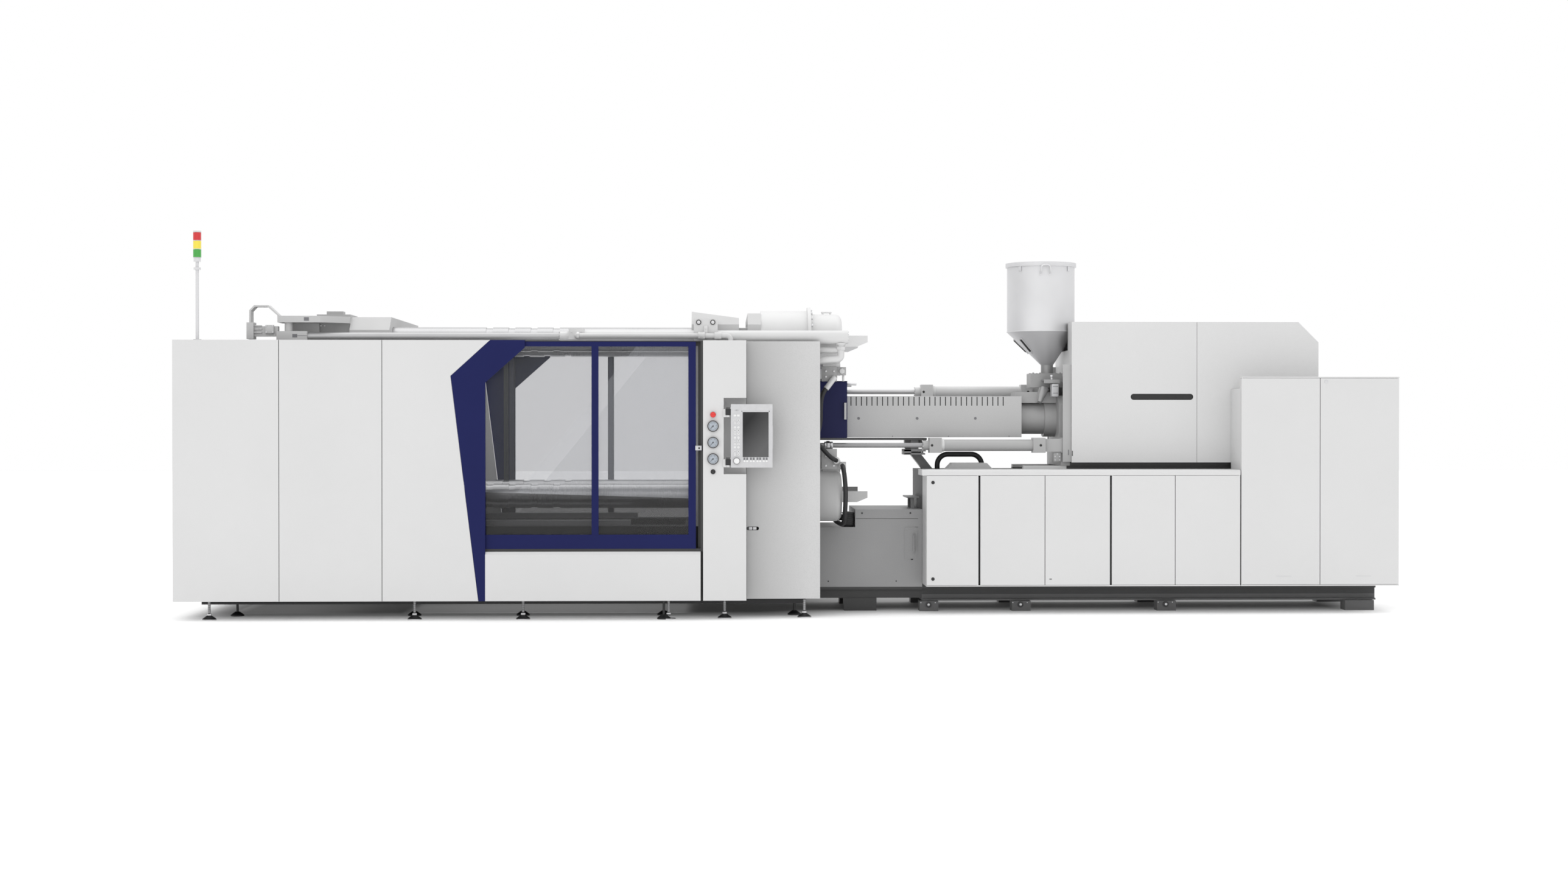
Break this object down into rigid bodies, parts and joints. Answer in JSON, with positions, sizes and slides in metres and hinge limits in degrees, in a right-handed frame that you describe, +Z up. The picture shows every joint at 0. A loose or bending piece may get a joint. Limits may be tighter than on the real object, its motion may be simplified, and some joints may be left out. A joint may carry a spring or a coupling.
{
  "type": "injection moulding machine",
  "caption": "Large horizontal two-platen injection moulding machine: guarded clamping unit with sliding gates, injection unit with hopper on a long base, and control cabinets.",
  "frame": {"origin": "on the floor, under the middle of the machine's length and width", "axes": "+X along the machine towards the injection end, +Y from the operator's side to the rear side, +Z up"},
  "size_m": [10.9, 2.8638, 3.399],
  "materials": {
    "panel_white": "fine textured powder coat",
    "chevron_blue": "satin powder coat",
    "frame_dark": "satin paint",
    "cast_grey": "painted casting",
    "light_grey": "satin paint",
    "steel": "machined",
    "chrome": "hard chrome",
    "stainless": "brushed stainless sheet",
    "glass": "clear safety pane",
    "black_plastic": "fine grain",
    "panel_grey": "fine grain",
    "red_plastic": "smooth",
    "purge_blue": "satin powder coat",
    "lamp": "ribbed lens",
    "cabinet_dark": "satin powder coat"
  },
  "bodies": {
    "machine_frame": {"clamp_bed": "frame_dark", "bed_rails": "steel", "levelling_feet": "black_plastic", "clamp_covers": "panel_white", "chevron_panels": "chevron_blue", "gate_sills": "panel_white", "control_column": "panel_white", "service_covers": "panel_white", "gate_tracks": "frame_dark", "cover_frame": "frame_dark", "fixed_platen": "cast_grey", "clamp_cylinders": "light_grey", "travel_cylinders": "cast_grey", "hydraulic_lines": "steel", "stack_light": "lamp", "injection_base": "cabinet_dark", "middle_base": "light_grey", "low_cabinet": "panel_white", "tall_cabinet": "panel_white", "purge_shell": "purge_blue", "carriage_rods": "chrome"},
    "tie_bars": {"tie_bars": "chrome"},
    "moving_platen": {"moving_platen": "cast_grey", "lock_housings": "light_grey", "travel_rods": "chrome", "rod_yokes": "cast_grey"},
    "lock_nuts_front": {"lock_nuts_front": "steel"},
    "lock_nuts_rear": {"lock_nuts_rear": "steel"},
    "ejector": {"ejector": "steel"},
    "front_gate": {"front_gate_frame": "chevron_blue", "front_gate_glass": "glass"},
    "rear_gate": {"rear_gate_frame": "panel_white", "rear_gate_glass": "glass"},
    "hmi_panel": {"hmi_panel": "panel_grey"},
    "hmi_wheel": {"hmi_wheel": "black_plastic"},
    "estop_button": {"estop_button": "red_plastic"},
    "push_button": {"push_button": "black_plastic"},
    "carriage": {"carriage": "cast_grey", "barrel": "steel", "heater_bands": "stainless", "barrel_guard": "light_grey", "hood": "panel_white", "feed_casting": "cast_grey", "hopper": "stainless", "carriage_cylinders": "cast_grey"},
    "injection_plate": {"injection_plate": "cast_grey"},
    "screw": {"screw": "steel"},
    "hopper_lid": {"hopper_lid": "stainless"},
    "slide_gate": {"slide_gate": "stainless"},
    "purge_door": {"purge_door": "purge_blue"},
    "gauge_needle_1": {"gauge_needle_1": "black_plastic"},
    "gauge_needle_2": {"gauge_needle_2": "black_plastic"},
    "gauge_needle_3": {"gauge_needle_3": "black_plastic"},
    "low_door_1": {"low_door_1": "panel_white"},
    "low_door_2": {"low_door_2": "panel_white"},
    "low_door_3": {"low_door_3": "panel_white"},
    "low_door_4": {"low_door_4": "panel_white"},
    "low_door_5": {"low_door_5": "panel_white"},
    "tall_door_1": {"tall_door_1": "panel_white"},
    "tall_door_2": {"tall_door_2": "panel_white"}
  },
  "joints": [
    {"name": "tie_bar_pull", "type": "slide", "parent": "machine_frame", "child": "tie_bars", "axis": [1, 0, 0], "range_m": [0, 0.04]},
    {"name": "platen_travel", "type": "slide", "parent": "machine_frame", "child": "moving_platen", "axis": [1, 0, 0], "range_m": [0, 1.9]},
    {"name": "nut_close", "type": "slide", "parent": "moving_platen", "child": "lock_nuts_front", "axis": [0, 1, 0], "range_m": [0, 0.024]},
    {"name": "nut_close_rear", "type": "slide", "parent": "moving_platen", "child": "lock_nuts_rear", "axis": [0, 1, 0], "range_m": [-0.024, 0]},
    {"name": "ejector_stroke", "type": "slide", "parent": "moving_platen", "child": "ejector", "axis": [1, 0, 0], "range_m": [0, 0.25]},
    {"name": "front_gate_slide", "type": "slide", "parent": "machine_frame", "child": "front_gate", "axis": [-1, 0, 0], "range_m": [0, 1.75]},
    {"name": "rear_gate_slide", "type": "slide", "parent": "machine_frame", "child": "rear_gate", "axis": [-1, 0, 0], "range_m": [0, 1.75]},
    {"name": "panel_swing", "type": "hinge", "parent": "machine_frame", "child": "hmi_panel", "pos_m": [-0.625, -1.405, 1.61], "axis": [0, 0, -1], "range_deg": [0, 90]},
    {"name": "wheel_turn", "type": "hinge", "parent": "hmi_panel", "child": "hmi_wheel", "pos_m": [-0.551, -1.43, 1.391], "axis": [0, 1, 0], "continuous": true},
    {"name": "estop_press", "type": "slide", "parent": "machine_frame", "child": "estop_button", "axis": [0, 1, 0], "range_m": [0, 0.006]},
    {"name": "button_press", "type": "slide", "parent": "machine_frame", "child": "push_button", "axis": [0, 1, 0], "range_m": [0, 0.004], "stiffness_N_per_m": 500, "springref_m": -0.002},
    {"name": "carriage_travel", "type": "slide", "parent": "machine_frame", "child": "carriage", "axis": [1, 0, 0], "range_m": [0, 0.6]},
    {"name": "injection_stroke", "type": "slide", "parent": "carriage", "child": "injection_plate", "axis": [1, 0, 0], "range_m": [0, 0.45]},
    {"name": "screw_turn", "type": "hinge", "parent": "injection_plate", "child": "screw", "pos_m": [1, 0, 1.77], "axis": [1, 0, 0], "continuous": true},
    {"name": "lid_open", "type": "hinge", "parent": "carriage", "child": "hopper_lid", "pos_m": [2.322, 0.343, 3.205], "axis": [-1, 0, 0], "range_deg": [0, 100]},
    {"name": "slide_gate_shut", "type": "slide", "parent": "carriage", "child": "slide_gate", "axis": [0, 1, 0], "range_m": [0, 0.12]},
    {"name": "purge_door_open", "type": "hinge", "parent": "machine_frame", "child": "purge_door", "pos_m": [0.226, -0.444, 1.84], "axis": [0, 0, -1], "range_deg": [0, 100]},
    {"name": "needle_1", "type": "hinge", "parent": "machine_frame", "child": "gauge_needle_1", "pos_m": [-0.757, -1.404, 1.695], "axis": [0, 1, 0], "range_deg": [0, 270]},
    {"name": "needle_2", "type": "hinge", "parent": "machine_frame", "child": "gauge_needle_2", "pos_m": [-0.757, -1.404, 1.5515], "axis": [0, 1, 0], "range_deg": [0, 270]},
    {"name": "needle_3", "type": "hinge", "parent": "machine_frame", "child": "gauge_needle_3", "pos_m": [-0.757, -1.404, 1.408], "axis": [0, 1, 0], "range_deg": [0, 270]},
    {"name": "low_door_1_open", "type": "hinge", "parent": "machine_frame", "child": "low_door_1", "pos_m": [1.624, -0.895, 0.75], "axis": [0, 0, 1], "range_deg": [0, 90]},
    {"name": "low_door_2_open", "type": "hinge", "parent": "machine_frame", "child": "low_door_2", "pos_m": [1.653, -0.895, 0.75], "axis": [0, 0, -1], "range_deg": [0, 90]},
    {"name": "low_door_3_open", "type": "hinge", "parent": "machine_frame", "child": "low_door_3", "pos_m": [2.814, -0.895, 0.75], "axis": [0, 0, 1], "range_deg": [0, 90]},
    {"name": "low_door_4_open", "type": "hinge", "parent": "machine_frame", "child": "low_door_4", "pos_m": [2.843, -0.895, 0.75], "axis": [0, 0, -1], "range_deg": [0, 90]},
    {"name": "low_door_5_open", "type": "hinge", "parent": "machine_frame", "child": "low_door_5", "pos_m": [3.996, -0.895, 0.75], "axis": [0, 0, 1], "range_deg": [0, 90]},
    {"name": "tall_door_1_open", "type": "hinge", "parent": "machine_frame", "child": "tall_door_1", "pos_m": [4.018, -0.895, 0.75], "axis": [0, 0, -1], "range_deg": [0, 90]},
    {"name": "tall_door_2_open", "type": "hinge", "parent": "machine_frame", "child": "tall_door_2", "pos_m": [5.442, -0.895, 0.75], "axis": [0, 0, 1], "range_deg": [0, 90]}
  ],
  "couplings": [
    {"joint": "nut_close_rear", "follows": "nut_close", "ratio": -1}
  ]
}
